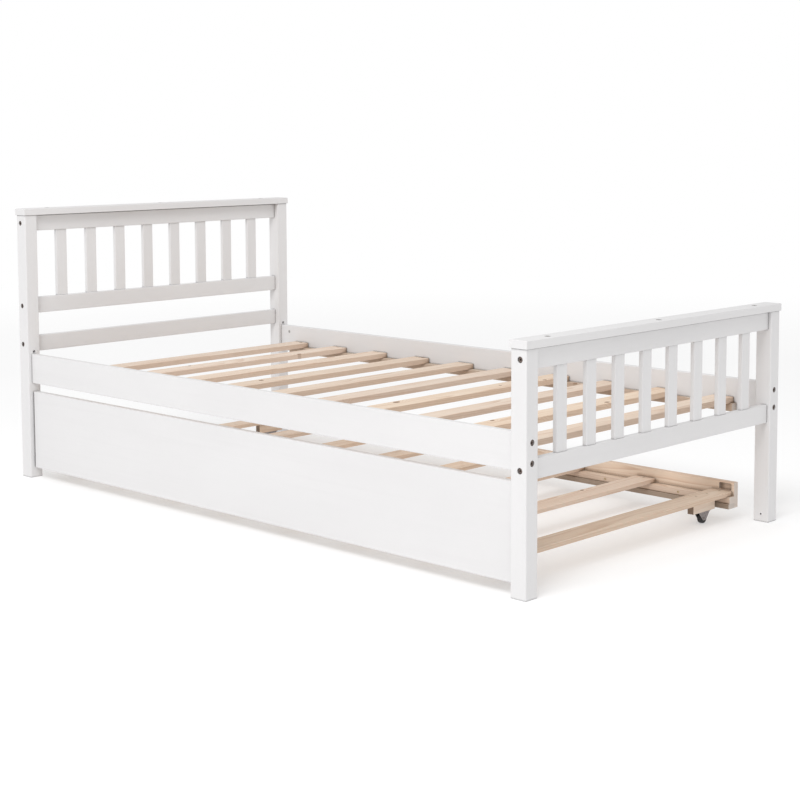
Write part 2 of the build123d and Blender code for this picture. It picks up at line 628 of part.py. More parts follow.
def build_trundle_box():
    """Front panel, rear board, ledgers, strips, slats and the trundle's screws."""
    centres = slat_centres(TRUNDLE_SLAT_COUNT, TRUNDLE_SLAT_SPAN)
    reach = TRUNDLE_SLAT_SPAN / 2 + LEDGER_OVERRUN
    front_y = PANEL_BACK_Y + TRUNDLE_LEDGER_WIDTH
    rear_y = REAR_BOARD_FRONT_Y - TRUNDLE_LEDGER_WIDTH
    ledger_z = TRUNDLE_LEDGER_Z + TRUNDLE_LEDGER_HEIGHT / 2
    front_screws = ledger_screw_places(front_y, TOWARDS_FAR, ledger_z, centres)
    rear_screws = ledger_screw_places(rear_y, TOWARDS_NEAR, ledger_z, centres)
    near_y = PANEL_BACK_Y + TRUNDLE_LEDGER_WIDTH / 2
    far_y = REAR_BOARD_FRONT_Y - TRUNDLE_LEDGER_WIDTH / 2
    slat_screws = slat_screw_places(centres, near_y, far_y, TRUNDLE_SLAT_TOP)
    block_screws = []
    for x, y in caster_places().values():
        block_screws += block_screw_places(x, y)
    front_down = [p for p in slat_screws if p[0][1] < 0]
    rear_down = [p for p in slat_screws if p[0][1] > 0]
    save("trundle_panel", make_trundle_panel(front_screws))
    save("trundle_rear_board", make_rear_board(rear_screws))
    front_low = (-reach, PANEL_BACK_Y, TRUNDLE_LEDGER_Z)
    front_high = (reach, front_y, TRUNDLE_SLAT_BOTTOM)
    rear_low = (-reach, rear_y, TRUNDLE_LEDGER_Z)
    rear_high = (reach, REAR_BOARD_FRONT_Y, TRUNDLE_SLAT_BOTTOM)
    save("trundle_ledger_front", make_ledger(front_low, front_high, front_screws + front_down))
    save("trundle_ledger_rear", make_ledger(rear_low, rear_high, rear_screws + rear_down))
    strip_front = board((-reach, PANEL_BACK_Y, STRIP_Z), (reach, FRONT_STRIP_Y, TRUNDLE_LEDGER_Z))
    strip_rear = board((-reach, REAR_STRIP_Y, STRIP_Z), (reach, REAR_BOARD_FRONT_Y, TRUNDLE_LEDGER_Z))
    save("trundle_strip_front", strip_front)
    save("trundle_strip_rear", strip_rear)
    slat_low = PANEL_BACK_Y + SLAT_END_GAP
    slat_high = REAR_BOARD_FRONT_Y - SLAT_END_GAP
    for i, x in enumerate(centres, start=1):
        slat = make_slat(
            x, slat_low, slat_high, TRUNDLE_SLAT_BOTTOM, TRUNDLE_SLAT_THICKNESS, slat_screws + block_screws
        )
        save(f"trundle_slat_{i}", slat)
    long_screw = make_screw(SCREW_RADIUS, SCREW_LENGTH, SCREW_HEAD_RADIUS, SCREW_HEAD_HEIGHT)
    short_screw = make_screw(SCREW_RADIUS, SHORT_SCREW_LENGTH, SCREW_HEAD_RADIUS, SCREW_HEAD_HEIGHT)
    screws = place_all(long_screw, front_screws + rear_screws)
    screws += place_all(short_screw, slat_screws + block_screws)
    save("trundle_screws", *screws)


def build_casters():
    """Blocks, forks, axles, wheels and screws of the four fixed casters."""
    fork = make_caster_fork()
    axle = make_axle()
    wheel = make_wheel()
    screw = make_screw(
        CASTER_SCREW_RADIUS, CASTER_SCREW_LENGTH, CASTER_SCREW_HEAD_RADIUS, CASTER_SCREW_HEAD_HEIGHT
    )
    axles = []
    screw_places = []
    seat_z = CASTER_HEIGHT - STEEL - CASTER_SCREW_HEAD_HEIGHT
    for name, (x, y) in caster_places().items():
        save(f"caster_block_{name}", make_caster_block(x, y))
        save(f"caster_fork_{name}", Pos(x, y, CASTER_HEIGHT) * fork)
        save(f"caster_wheel_{name}", Pos(x, y, WHEEL_RADIUS) * wheel)
        axles.append(Pos(x, y, WHEEL_RADIUS) * axle)
        for offset in (-CASTER_SCREW_SPACING / 2, CASTER_SCREW_SPACING / 2):
            screw_places.append(((x, y + offset, seat_z), DOWNWARDS))
    save("caster_axles", *axles)
    save("caster_screws", *place_all(screw, screw_places))


build_ends()
build_bed_base()
build_bolts()
build_trundle_box()
build_casters()
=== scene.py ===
# %% [markdown]
# # A trundle bed in white paint and bare pine
# The bed is a joiner's piece: square posts, flat caps, thin upright spindles and
# plain boards, all painted white, with bare pine slats across it. A second, low
# bed on four small casters hides underneath and rolls out from the near side.
# The shapes of the boards come in ready made, as one object per piece of wood.
# What is left to do here is what makes them look real: paint that shows a little
# of the wood under it, pine with rings, fibres and knots, metal that is not new
# any more, and wheels with the detail of a moulding. We start by loading the
# boards and counting them.

# %% Load the joiner's boards
import math
import random
import bmesh
import bpy
from mathutils import Matrix, Vector


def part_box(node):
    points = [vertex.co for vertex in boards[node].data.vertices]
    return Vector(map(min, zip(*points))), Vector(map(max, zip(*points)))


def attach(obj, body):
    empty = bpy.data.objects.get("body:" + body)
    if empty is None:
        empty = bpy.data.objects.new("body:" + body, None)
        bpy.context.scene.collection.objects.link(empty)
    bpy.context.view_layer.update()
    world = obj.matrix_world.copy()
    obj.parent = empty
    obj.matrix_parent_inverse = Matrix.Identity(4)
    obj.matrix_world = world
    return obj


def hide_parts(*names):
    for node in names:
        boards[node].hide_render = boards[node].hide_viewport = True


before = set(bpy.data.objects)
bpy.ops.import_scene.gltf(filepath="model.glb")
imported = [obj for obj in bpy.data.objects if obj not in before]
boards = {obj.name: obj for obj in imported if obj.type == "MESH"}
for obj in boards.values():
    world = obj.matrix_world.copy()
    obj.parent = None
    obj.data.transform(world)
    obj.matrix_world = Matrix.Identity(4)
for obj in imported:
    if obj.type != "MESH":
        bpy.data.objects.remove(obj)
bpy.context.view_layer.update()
MM = 0.001
random.seed(7)
print("boards and fittings:", len(boards))

# %% [markdown]
# ## Small tools for mixing finishes
# A finish in Blender is a graph of nodes. Written out by hand, every node takes
# four or five lines, and the idea of the finish gets lost between them. So the
# first thing to make is a handful of helpers: one that starts a finish, one that
# adds any node and plugs its inputs, and one each for sums, colour ramps and
# colour mixing. A value given to a helper may be a plain number or the output of
# another node, and the helper sorts out which.


# %% Helpers that add nodes
def new_finish(name):
    """A fresh material with one Principled shader, and its node tree."""
    finish = bpy.data.materials.new(name)
    finish.use_nodes = True
    tree = finish.node_tree
    tree.nodes.clear()
    shader = tree.nodes.new("ShaderNodeBsdfPrincipled")
    output = tree.nodes.new("ShaderNodeOutputMaterial")
    tree.links.new(shader.outputs["BSDF"], output.inputs["Surface"])
    return finish, tree, shader


def plug(tree, socket, value):
    """Links a node's output to the socket, or writes a plain value into it."""
    if isinstance(value, bpy.types.NodeSocket):
        tree.links.new(value, socket)
    else:
        socket.default_value = value


def add(tree, kind, inputs=None, **settings):
    """Adds one node, with its settings and its inputs by name or number."""
    node = tree.nodes.new("ShaderNode" + kind)
    for key, value in settings.items():
        setattr(node, key, value)
    for key, value in (inputs or {}).items():
        plug(tree, node.inputs[key], value)
    return node


def calc(tree, operation, *values):
    """One sum on one, two or three values."""
    return add(tree, "Math", dict(enumerate(values)), operation=operation).outputs[0]


def vector_calc(tree, operation, first, second):
    """One sum on two vectors."""
    return add(tree, "VectorMath", {0: first, 1: second}, operation=operation).outputs[0]


def ramp(tree, value, stops):
    """Turns a value into a colour through (place, colour) stops."""
    node = add(tree, "ValToRGB", {0: value})
    strip = node.color_ramp.elements
    while len(strip) < len(stops):
        strip.new(0.5)
    for element, (place, colour) in zip(strip, stops):
        element.position = place
        element.color = (*colour, 1.0)
    return node.outputs["Color"]


def shade(tree, value, low, high, dark=0.0, bright=1.0):
    """Stretches a value from low..high to dark..bright with soft ends."""
    sockets = {0: value, 1: low, 2: high, 3: dark, 4: bright}
    return add(tree, "MapRange", sockets, interpolation_type="SMOOTHSTEP").outputs[0]


def mix(tree, share, first, second, mode="MIX"):
    """Mixes two colours."""
    node = add(tree, "Mix", {0: share}, data_type="RGBA", blend_type=mode)
    for socket, colour in ((node.inputs[6], first), (node.inputs[7], second)):
        plug(tree, socket, (*colour, 1.0) if isinstance(colour, tuple) else colour)
    return node.outputs[2]


def noise(tree, place, scale, detail=3.0, rough=0.55):
    """Soft cloudy noise at a place in space."""
    sockets = {"Vector": place, "Scale": scale, "Detail": detail, "Roughness": rough}
    return add(tree, "TexNoise", sockets).outputs["Fac"]


print("helpers ready")

# %% [markdown]
# ## Finding the direction of the grain
# Wood is not the same in every direction. Its fibres and rings run along the
# board, so every pattern on it is stretched that way. The boards here lie along
# three different axes. Rather than paint three kinds of wood, we turn the
# coordinates: every board gets a space of its own where the first number runs
# along the grain, the second across the face and the third through the thickness.
# The helper also says how squarely a face looks along the grain, because the cut
# end of a board looks different from its faces, and how squarely it looks across
# the thickness, because the planed faces are paler than the sawn edges.

# %% Coordinates that follow the grain
def grain_space(tree, directions, middle):
    """The place in the board's own space, and how much a face is a cut end or a wide face.

    directions names three axes: along the grain, across the face, through the thickness."""
    source = add(tree, "TexCoord")
    local = vector_calc(tree, "SUBTRACT", source.outputs["Object"], tuple(middle))
    parts = add(tree, "SeparateXYZ", {0: local})
    turned = add(tree, "CombineXYZ")
    for slot, letter in enumerate(directions):
        plug(tree, turned.inputs[slot], parts.outputs[letter])
    facing = add(tree, "SeparateXYZ", {0: source.outputs["Normal"]})
    endwise = calc(tree, "ABSOLUTE", facing.outputs[directions[0]])
    facewise = calc(tree, "ABSOLUTE", facing.outputs[directions[2]])
    return turned.outputs[0], shade(tree, endwise, 0.6, 0.9), shade(tree, facewise, 0.35, 0.75)


def stretched(tree, place, lengthwise, crosswise, shift=0.0):
    """A place scaled by one number along the grain and another across it."""
    scaled = vector_calc(tree, "MULTIPLY", place, (lengthwise, crosswise, crosswise))
    return vector_calc(tree, "ADD", scaled, (shift, shift * 0.7, shift * 1.3))


def edge_mask(tree, radius):
    """How close a point is to a sharp edge, from 0 on a flat to 1 on the edge."""
    rounded = add(tree, "Bevel", {"Radius": radius}, samples=6)
    plain = add(tree, "NewGeometry")
    match = add(tree, "VectorMath", operation="DOT_PRODUCT")
    plug(tree, match.inputs[0], rounded.outputs[0])
    plug(tree, match.inputs[1], plain.outputs["Normal"])
    return shade(tree, match.outputs["Value"], 0.78, 0.995, 1.0, 0.0)


def joint_shadow(tree, reach, deepest=0.30, lightest=0.85):
    """How deep a point sits in a joint or corner, from 0 in the open to 1."""
    crowding = add(tree, "AmbientOcclusion", {"Distance": reach}, samples=6)
    return shade(tree, crowding.outputs["AO"], deepest, lightest, 1.0, 0.0)


def thinnest_last(node, along):
    """The three axes of a board: along its grain, across its face, through it."""
    low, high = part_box(node)
    others = [axis for axis in "XYZ" if axis != along]
    others.sort(key=lambda axis: high["XYZ".index(axis)] - low["XYZ".index(axis)], reverse=True)
    return along + "".join(others)


print("axes of a bed slat:", thinnest_last("bed_slat_01", "Y"))
print("axes of the trundle's rear board:", thinnest_last("trundle_rear_board", "X"))

# %% [markdown]
# ## Bare pine
# A board is sawn from a round log, so its pattern is a set of nested tubes cut by
# a plane. That is easy to build: take the distance from a centre line a few
# centimetres below the board, bend it a little with noise, let the tubes taper
# along the log, and repeat a light-to-dark ramp every few millimetres. The same
# sum gives arches on the faces and arcs on the cut ends, with no extra work.
# On top come fine fibres, wide tone streaks, and knots: scattered cells of which
# about half are kept, each with a dark heart that pushes the rings aside.
# Every board gets its own centre line, shift and tone, because no two boards
# in a stack match.

# %% The pine finish
PINE_PALE = (0.83, 0.715, 0.600)
PINE_MIDDLE = (0.765, 0.600, 0.470)
PINE_DARK = (0.585, 0.395, 0.275)
PINE_SAWN = (0.560, 0.405, 0.305)
PINE_END = (0.66, 0.60, 0.55)
PINE_EDGE = (0.86, 0.76, 0.66)
# Painted shade: a near black for cut ends that stand in shadow.
END_IN_SHADE = (0.17, 0.12, 0.085)
PINE_SHADOW = (0.20, 0.13, 0.08)
KNOT_HEART = (0.20, 0.10, 0.05)
KNOT_RIM = (0.42, 0.25, 0.13)
RING_WIDTH = 5.2 * MM
RING_WANDER = 15 * MM       # how far the rings stray from true circles
RING_DEPTH = 55 * MM        # from the board to the middle of its log
RING_SPREAD = 30 * MM       # how much that differs from board to board
LOG_TAPER = 0.016
KNOT_PUSH = 9 * MM          # how far a knot pushes the rings aside
KNOT_CELLS = 6.5            # cells to the metre, of which some hold a knot
KNOTS_LEFT_OUT = 0.52
KNOT_RADIUS = 0.030         # in cells
KNOT_RADIUS_SPREAD = 0.035
PINE_FIBRES = 900.0         # to the metre, across the grain
PINE_SHADE_REACH = 14 * MM


def knots(tree, place, seed):
    """How much a point is inside a knot, and how much a knot bends the rings there."""
    moved = vector_calc(tree, "ADD", place, (seed * 3.1, seed * 1.7, 0.0))
    squeezed = vector_calc(tree, "MULTIPLY", moved, (0.72, 1.0, 1.0))
    cells = add(tree, "TexVoronoi", {"Vector": squeezed, "Scale": KNOT_CELLS}, voronoi_dimensions="2D")
    dice = add(tree, "SeparateColor", {0: cells.outputs["Color"]})
    kept = calc(tree, "GREATER_THAN", dice.outputs[0], KNOTS_LEFT_OUT)
    radius = calc(tree, "MULTIPLY_ADD", dice.outputs[1], KNOT_RADIUS_SPREAD, KNOT_RADIUS)
    reach = calc(tree, "DIVIDE", cells.outputs["Distance"], radius)
    inside = calc(tree, "MULTIPLY", shade(tree, reach, 0.62, 1.0, 1.0, 0.0), kept)
    swirl = calc(tree, "MULTIPLY", shade(tree, reach, 0.7, 3.2, 1.0, 0.0), kept)
    return inside, swirl


def growth_rings(tree, place, seed, swirl):
    """Where a point falls between one ring and the next, from 0 to 1."""
    wander = noise(tree, stretched(tree, place, 1.6, 9.0, seed), 1.0, 2.0)
    bent = calc(tree, "MULTIPLY_ADD", wander, 2 * RING_WANDER, -RING_WANDER)
    parts = add(tree, "SeparateXYZ", {0: place})
    off_centre = RING_SPREAD * math.sin(seed * 5.0)
    below = RING_DEPTH + RING_SPREAD * math.cos(seed * 3.0)
    side = calc(tree, "ADD", parts.outputs[1], off_centre)
    depth = calc(tree, "ADD", parts.outputs[2], below)
    side_square = calc(tree, "MULTIPLY", side, side)
    depth_square = calc(tree, "MULTIPLY", depth, depth)
    away = calc(tree, "SQRT", calc(tree, "ADD", side_square, depth_square))
    taper = calc(tree, "MULTIPLY_ADD", parts.outputs[0], LOG_TAPER, away)
    pushed = calc(tree, "MULTIPLY_ADD", swirl, KNOT_PUSH, calc(tree, "ADD", taper, bent))
    return calc(tree, "FRACT", calc(tree, "DIVIDE", pushed, RING_WIDTH))


def pine_colour(tree, space, seed, ring, fibre, heart, tint_and_shade, ends_in_light):
    """The colour of one board: rings, fibres, sawn edges, cut ends and knots, and painted shade in its
    joints and corners.
    """
    place, cut_end, wide_face = space
    stops = ((0.0, PINE_PALE), (0.62, PINE_MIDDLE), (0.9, PINE_DARK), (1.0, PINE_PALE))
    streak = noise(tree, stretched(tree, place, 2.2, 45.0, seed), 1.0, 3.0)
    body = mix(tree, shade(tree, streak, 0.3, 0.7, 0.25, 0.85), PINE_PALE, ramp(tree, ring, stops))
    body = mix(tree, shade(tree, fibre, 0.35, 0.75, 0.0, 0.30), body, PINE_DARK)
    body = mix(tree, calc(tree, "MULTIPLY_ADD", wide_face, -0.45, 0.45), body, PINE_SAWN)
    # The tint carries each board's random tone and, for some boards, painted shade.
    body = mix(tree, 1.0, body, tint_and_shade, "MULTIPLY")
    # Painted shade: ends not in light are mixed almost wholly into a near black, for the shadow they
    # stand in.
    end_share, end_colour = (0.75, PINE_END) if ends_in_light else (0.92, END_IN_SHADE)
    body = mix(tree, calc(tree, "MULTIPLY", cut_end, end_share), body, end_colour)
    knot = mix(tree, shade(tree, heart, 0.3, 0.95), KNOT_RIM, KNOT_HEART)
    shown = calc(tree, "MULTIPLY_ADD", wide_face, 0.7, 0.3)
    body = mix(tree, calc(tree, "MULTIPLY", shade(tree, heart, 0.05, 0.5), shown), body, knot)
    body = mix(tree, calc(tree, "MULTIPLY", edge_mask(tree, 1.6 * MM), 0.25), body, PINE_EDGE)
    # Painted shade: the colour darkens towards PINE_SHADOW in joints, corners and hollows, where shade
    # falls.
    corner_shade = joint_shadow(tree, PINE_SHADE_REACH, 0.42, 0.92)
    return mix(tree, calc(tree, "MULTIPLY", corner_shade, 0.70), body, PINE_SHADOW)


def pine(name, directions, middle, seed, tint_and_shade, ends_in_light=True):
    """Planed pine under a clear coat for one board, its cut ends plain or painted dark as shade."""
    finish, tree, shader = new_finish(name)
    space = grain_space(tree, directions, middle)
    place = space[0]
    heart, swirl = knots(tree, place, seed)
    ring = growth_rings(tree, place, seed, swirl)
    fibre = noise(tree, stretched(tree, place, 14.0, PINE_FIBRES, seed), 1.0, 4.0, 0.7)
    colour = pine_colour(tree, space, seed, ring, fibre, heart, tint_and_shade, ends_in_light)
    plug(tree, shader.inputs["Base Color"], colour)
    plug(tree, shader.inputs["Roughness"], shade(tree, fibre, 0.2, 0.8, 0.50, 0.68))
    hard_rings = calc(tree, "MULTIPLY", ring, -0.35)
    relief = calc(tree, "ADD", hard_rings, calc(tree, "MULTIPLY", fibre, 0.9))
    bump = add(tree, "Bump", {"Strength": 0.35, "Distance": 0.25 * MM, "Height": relief})
    plug(tree, shader.inputs["Normal"], bump.outputs[0])
    shader.inputs["Specular IOR Level"].default_value = 0.35
    return finish


print("pine is ready, rings every mm:", round(RING_WIDTH / MM, 1))

# %% [markdown]
# Which boards are bare, and which way does each one run? The slats and the
# caster blocks lie across the bed. The ledgers, the strips and the trundle's
# rear board run along it. The tone changes a little from board to board, as it
# does when slats are packed straight from the saw. The caster blocks' cut ends
# are painted almost black, as painted shade for the shadow behind the trundle's
# panel. The strips and the bed's ledgers are painted darker all over, as painted
# shade for where they sit under the slats.

# %% Give every bare board its own pine
BARE_LENGTHWISE = ("slat_ledger", "trundle_ledger", "trundle_strip", "trundle_rear_board")
BARE_CROSSWISE = ("bed_slat", "trundle_slat", "caster_block")
# Painted shade: these boards are darkened all over, for the shade they sit in under the slats.
SHADE_DARKENED_BOARDS = {"trundle_strip": 0.52, "slat_ledger": 0.74}
SEED_STEP = 0.83


def dress(node, finish):
    """Gives a ready-made board its finish, and keeps its shape as it is."""
    slots = boards[node].data.materials
    slots.clear()
    slots.append(finish)


def middle_of(node):
    """The centre of a board's box."""
    low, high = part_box(node)
    return (low + high) / 2


bare = [n for n in sorted(boards) if n.startswith(BARE_LENGTHWISE + BARE_CROSSWISE)]
for count, node in enumerate(bare):
    kind = node.rsplit("_", 1)[0]
    directions = thinnest_last(node, "X" if node.startswith(BARE_LENGTHWISE) else "Y")
    # A random tone for every board, times the painted shade for the strips and the bed's ledgers.
    tone_and_shade = random.uniform(0.93, 1.05) * SHADE_DARKENED_BOARDS.get(kind, 1.0)
    warmth = random.uniform(0.0, 1.0)
    tint_and_shade = (tone_and_shade, tone_and_shade * (1.0 - 0.03 * warmth), tone_and_shade * (1.02 - 0.10 * warmth))
    # The caster blocks' cut ends get painted shade.
    ends_in_light = not node.startswith("caster_block")
    seed = 1.0 + SEED_STEP * count
    dress(node, pine("pine_" + node, directions, middle_of(node), seed, tint_and_shade, ends_in_light))
print("bare pine boards:", len(bare))

# %% [markdown]
# ## White satin paint over pine
# Sprayed paint hides the colour of the wood but not its relief. Seen close, the
# fibres still stand out as very fine lines along the board, the film has the
# slight pebble of a spray coat, and it draws back from the arrises, where a hint
# of warm primer shows. Seen from far away only one thing remains, and it is the
# important one: the white is never quite even. So the colour moves by a few
# percent in large soft patches, and the gloss moves with it.

# %% The paint finish
PAINT_WHITE = (0.735, 0.726, 0.728)
PAINT_SHADED = (0.690, 0.680, 0.682)
PAINT_THIN = (0.700, 0.672, 0.632)
PAINT_JOINT_SHADE = (0.16, 0.155, 0.155)
PAINT_FIBRES = 520.0        # to the metre, across the grain
PAINT_PEBBLES = 420.0       # to the metre
PAINT_SHADE_REACH = 7 * MM


def white_paint(name, directions):
    """White satin paint on a board whose grain runs along the first axis."""
    finish, tree, shader = new_finish(name)
    place, cut_end, _ = grain_space(tree, directions, (0.0, 0.0, 0.0))
    patch = noise(tree, stretched(tree, place, 1.1, 4.0), 1.0, 3.0)
    fibre = noise(tree, stretched(tree, place, 9.0, PAINT_FIBRES, 3.0), 1.0, 4.0, 0.65)
    streak = noise(tree, stretched(tree, place, 2.4, 70.0, 9.0), 1.0, 3.0)
    pebble = noise(tree, place, PAINT_PEBBLES, 2.0)
    body = mix(tree, shade(tree, patch, 0.35, 0.70, 0.0, 0.55), PAINT_WHITE, PAINT_SHADED)
    body = mix(tree, shade(tree, streak, 0.45, 0.78, 0.0, 0.30), body, PAINT_SHADED)
    body = mix(tree, shade(tree, fibre, 0.52, 0.80, 0.0, 0.28), body, PAINT_SHADED)
    body = mix(tree, calc(tree, "MULTIPLY", cut_end, 0.25), body, PAINT_SHADED)
    patchy = shade(tree, streak, 0.35, 0.7, 0.15, 0.8)
    worn = calc(tree, "MULTIPLY", edge_mask(tree, 1.4 * MM), patchy)
    body = mix(tree, calc(tree, "MULTIPLY", worn, 0.75), body, PAINT_THIN)
    # Painted shade: the white darkens towards near black in joints and under the caps' overhang, where
    # shade falls.
    corner_shade = joint_shadow(tree, PAINT_SHADE_REACH)
    body = mix(tree, calc(tree, "MULTIPLY", corner_shade, 0.90), body, PAINT_JOINT_SHADE)
    plug(tree, shader.inputs["Base Color"], body)
    plug(tree, shader.inputs["Roughness"], shade(tree, patch, 0.25, 0.75, 0.34, 0.46))
    pebbles = calc(tree, "MULTIPLY", pebble, 0.5)
    relief = calc(tree, "ADD", calc(tree, "MULTIPLY", fibre, 0.8), pebbles)
    relief = calc(tree, "MULTIPLY_ADD", streak, 0.5, relief)
    bump = add(tree, "Bump", {"Strength": 0.22, "Distance": 0.20 * MM, "Height": relief})
    plug(tree, shader.inputs["Normal"], bump.outputs[0])
    shader.inputs["Coat Weight"].default_value = 0.12
    shader.inputs["Coat Roughness"].default_value = 0.25
    return finish


PAINTED_WAYS = ("XYZ", "YXZ", "ZXY")
PAINTED = ("head_", "foot_", "side_rail", "trundle_panel")
paints = {}
for ways in PAINTED_WAYS:
    paints[ways[0]] = white_paint("white_paint_grain_" + ways[0].lower(), ways)
painted = [n for n in sorted(boards) if n.startswith(PAINTED)]
for node in painted:
    if "post" in node or "spindles" in node:
        dress(node, paints["Z"])
    elif node.startswith(("head_", "foot_")):
        dress(node, paints["Y"])
    else:
        dress(node, paints["X"])
print("painted boards:", len(painted))

# %% [markdown]
# ## Bolts, nuts and screws
# There are three kinds of metal. The frame bolts are black oxide, which wears to a
# warm brown on the rim of the head and in the socket. The barrel nuts and caster
# forks are zinc plated: a pale grey with faint cloudy bloom. The wood screws are
# yellow zinc, close to the colour of the pine. All are one recipe with different
# colours, so one function makes them. The cloud also drives the roughness, because
# a bloomed patch is duller than a clean one.

# %% The metal finishes
def plated(name, clean, clouded, worn_to, rough_low, rough_high):
    """Plated or blackened steel with cloudy patches and rubbed edges."""
    finish, tree, shader = new_finish(name)
    place = add(tree, "TexCoord").outputs["Object"]
    cloud = noise(tree, place, 260.0, 4.0, 0.6)
    scratch = noise(tree, vector_calc(tree, "MULTIPLY", place, (60.0, 1400.0, 900.0)), 1.0, 3.0)
    body = mix(tree, shade(tree, cloud, 0.35, 0.65), clean, clouded)
    body = mix(tree, shade(tree, scratch, 0.60, 0.80, 0.0, 0.35), body, worn_to)
    body = mix(tree, calc(tree, "MULTIPLY", edge_mask(tree, 0.5 * MM), 0.65), body, worn_to)
    plug(tree, shader.inputs["Base Color"], body)
    plug(tree, shader.inputs["Roughness"], shade(tree, cloud, 0.3, 0.7, rough_low, rough_high))
    relief = calc(tree, "MULTIPLY_ADD", cloud, 0.4, scratch)
    bump = add(tree, "Bump", {"Strength": 0.25, "Distance": 0.05 * MM, "Height": relief})
    plug(tree, shader.inputs["Normal"], bump.outputs[0])
    shader.inputs["Metallic"].default_value = 1.0
    return finish


black_oxide = plated(
    "black_oxide_bolts", (0.13, 0.110, 0.105), (0.25, 0.195, 0.170), (0.50, 0.41, 0.36), 0.30, 0.48
)
zinc = plated("zinc_nuts", (0.48, 0.47, 0.45), (0.36, 0.35, 0.34), (0.62, 0.60, 0.56), 0.28, 0.46)
yellow_zinc = plated(
    "yellow_zinc_screws", (0.60, 0.47, 0.31), (0.47, 0.35, 0.22), (0.70, 0.60, 0.46), 0.34, 0.52
)
fork_zinc = plated(
    "pressed_zinc_fork", (0.34, 0.31, 0.305), (0.24, 0.215, 0.21), (0.52, 0.49, 0.47), 0.34, 0.55
)
for node in ("rail_bolts", "cap_screws"):
    dress(node, black_oxide)
for node in ("frame_screws", "trundle_screws"):
    dress(node, yellow_zinc)
for node in ("barrel_nuts", "caster_screws"):
    dress(node, zinc)
forks = [n for n in sorted(boards) if n.startswith("caster_fork")]
for node in forks + ["caster_axles"]:
    dress(node, fork_zinc)
print("metal finishes:", black_oxide.name, zinc.name, yellow_zinc.name, fork_zinc.name)

# %% [markdown]
# ## The pressed forks
# A caster's fork is bent from one sheet of steel, so nothing on it is truly
# sharp: the shears leave a burr that tumbling rounds off. The ready-made fork has
# crisp edges. A Bevel modifier rounds them without touching the shape itself. It
# works only where two faces meet at a real angle, so the flats stay flat.

# %% Soften the forks' edges
FORK_EASE = 0.25 * MM
SHARPEST_FLAT = 50.0        # edges flatter than this many degrees stay as they are


def soften(node, radius, steps=2):
    """Rounds a fitting's crisp edges with a modifier."""
    rounding = boards[node].modifiers.new("rounded_edges", "BEVEL")
    rounding.width = radius
    rounding.segments = steps
    rounding.limit_method = "ANGLE"
    rounding.angle_limit = math.radians(SHARPEST_FLAT)


for node in forks:
    soften(node, FORK_EASE)
print("forks softened:", len(forks))

# %% [markdown]
# ## Caster wheels
# The wheels are the smallest moving parts of the bed and the only ones that turn.
# A moulded nylon wheel has a tyre band with shallow grooves, round shoulders, a
# dished web and a hub boss, and six thin ribs from hub to rim that keep the dish
# stiff. Without the ribs a turned wheel would look the same at every angle.
# The round body is a profile spun about the axle: we write the outline once, as
# pairs of distance along the axle and radius, and place a copy of it every few
# degrees. The ribs are short blocks with eased edges, set into the dish.

# %% The outline of a wheel and the spinning tool
TURNS = 72
RIBS = 6
# One half of the outline and the ribs, in millimetres along the axle and out from it.
TYRE_HALF_OUTLINE = (
    (6.8, 2.05), (6.8, 3.8), (6.6, 4.1), (5.3, 4.3), (5.1, 4.6), (5.0, 9.6), (5.2, 9.9),
    (6.2, 10.1), (6.6, 10.4), (6.7, 12.4), (6.4, 13.7), (5.6, 14.6), (4.7, 14.93), (3.6, 15.0),
    (3.4, 14.7), (2.9, 14.68), (2.7, 15.0), (1.0, 15.0), (0.8, 14.7),
)
RIB_SIZE = (1.5, 1.0, 6.0)
RIB_SEAT = (5.3, 7.2)
RIB_EASE = 0.12 * MM


def spin(mesh, outline, turns):
    """Closes an outline of (along axle, radius) points into a ring about X."""
    rings = []
    for step in range(turns):
        angle = 2 * math.pi * step / turns
        points = [Vector((x, r * math.cos(angle), r * math.sin(angle))) for x, r in outline]
        rings.append([mesh.verts.new(point) for point in points])
    for ring, following in zip(rings, rings[1:] + rings[:1]):
        for a in range(len(outline)):
            b = (a + 1) % len(outline)
            mesh.faces.new((ring[a], ring[b], following[b], following[a]))


def block(mesh, size, matrix):
    """Adds a small block with eased edges."""
    made = bmesh.ops.create_cube(mesh, size=1.0, matrix=matrix @ Matrix.Diagonal((*size, 1.0)))
    edges = {edge for vert in made["verts"] for edge in vert.link_edges}
    bmesh.ops.bevel(mesh, geom=list(edges), offset=RIB_EASE, segments=2, affect="EDGES")


def finished_object(mesh, name, finish, smooth_below=40.0):
    """Turns a built mesh into an object with its finish and soft shading."""
    bmesh.ops.recalc_face_normals(mesh, faces=mesh.faces[:])
    data = bpy.data.meshes.new(name)
    mesh.to_mesh(data)
    mesh.free()
    data.materials.append(finish)
    piece = bpy.data.objects.new(name, data)
    bpy.context.scene.collection.objects.link(piece)
    data.shade_smooth()
    data.set_sharp_from_angle(angle=math.radians(smooth_below))
    return piece


half = [(x * MM, r * MM) for x, r in TYRE_HALF_OUTLINE]
wheel_outline = half + [(-x, r) for x, r in reversed(half)]
print("points round a wheel's outline:", len(wheel_outline))

# %% [markdown]
# Black nylon is not just dark. It scuffs to grey where it has met the floor, it
# picks up dust in the grooves, and its shine breaks up with the scuffs. The
# scuffs depend on how far a point is from the axle, so the tread gets most of
# them. Distance from an axle that runs along X needs only the other two numbers.

# %% The wheel's nylon
NYLON_BLACK = (0.012, 0.012, 0.013)
NYLON_SCUFFED = (0.085, 0.080, 0.075)
NYLON_EDGE = (0.10, 0.10, 0.10)


